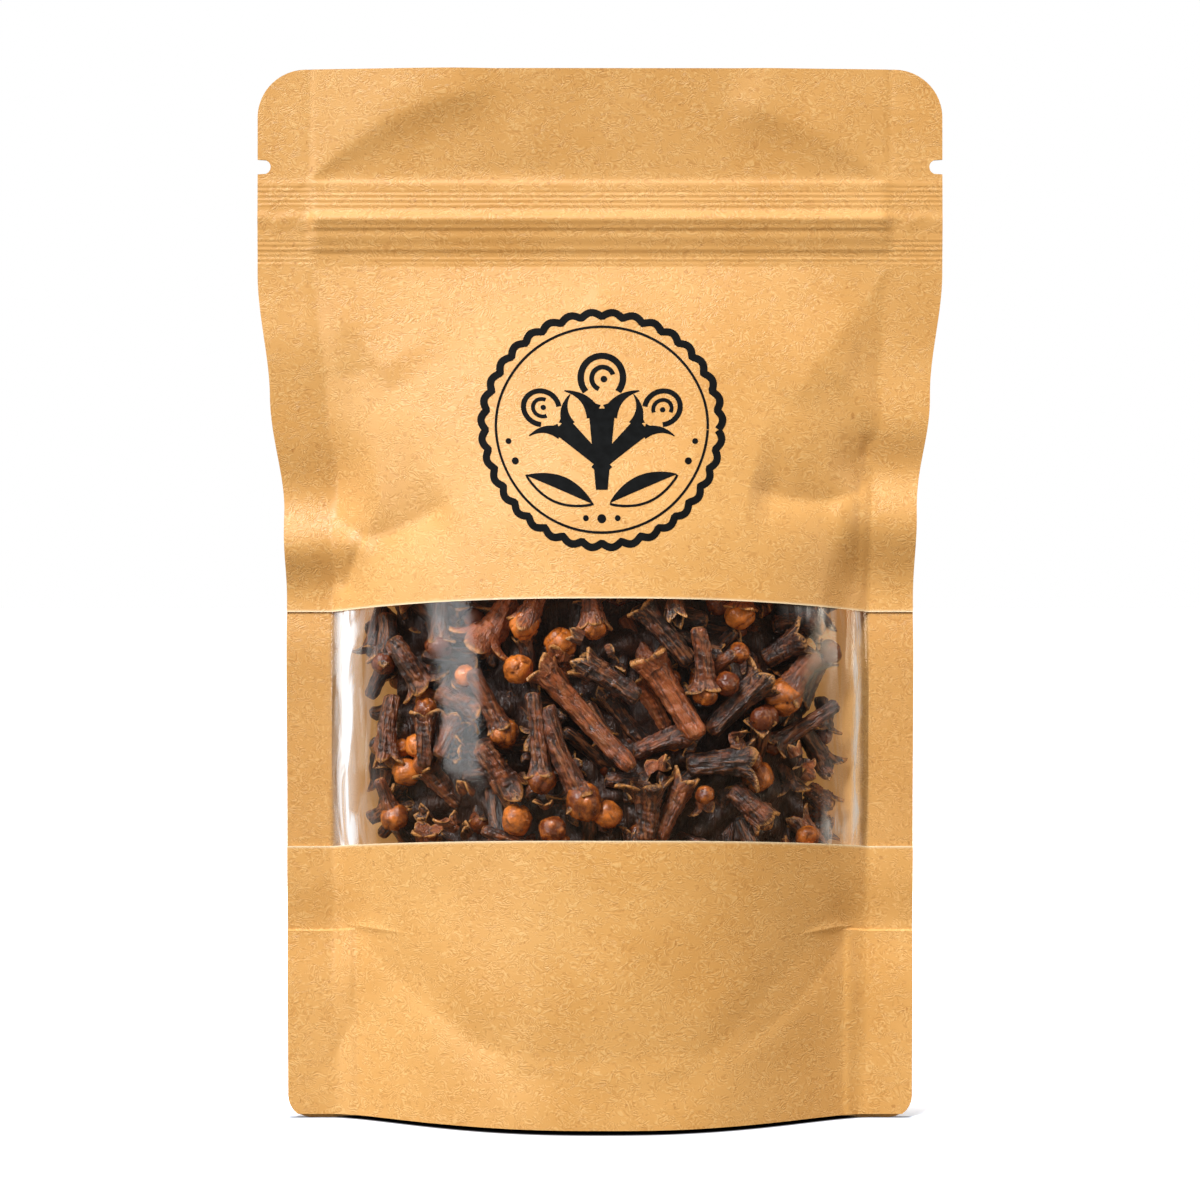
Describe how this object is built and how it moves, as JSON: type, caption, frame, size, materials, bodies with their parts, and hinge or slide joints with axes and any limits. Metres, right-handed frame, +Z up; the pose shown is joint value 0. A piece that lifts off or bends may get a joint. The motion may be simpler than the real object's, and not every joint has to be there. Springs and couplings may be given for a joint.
{
  "type": "stand-up pouch of whole cloves",
  "caption": "Kraft paper stand-up pouch with round corners, tear notches, a press-to-close zip and a clear front window, filled with whole dried cloves.",
  "frame": {"origin": "middle of the base, on the surface the pouch stands on", "axes": "+Z up, +X to the right seen from the front, and the front with the window faces -Y"},
  "size_m": [0.11, 0.037, 0.1683],
  "materials": {
    "kraft_paper": "matte brown kraft paper with curly fibres",
    "clear_film": "clear gloss film",
    "clove": "dried flower buds, dark brown stems and orange-brown buds with a dull sheen"
  },
  "bodies": {
    "root": {"pouch": "kraft_paper", "window_film": "clear_film", "cloves": "clove"}
  },
  "joints": []
}
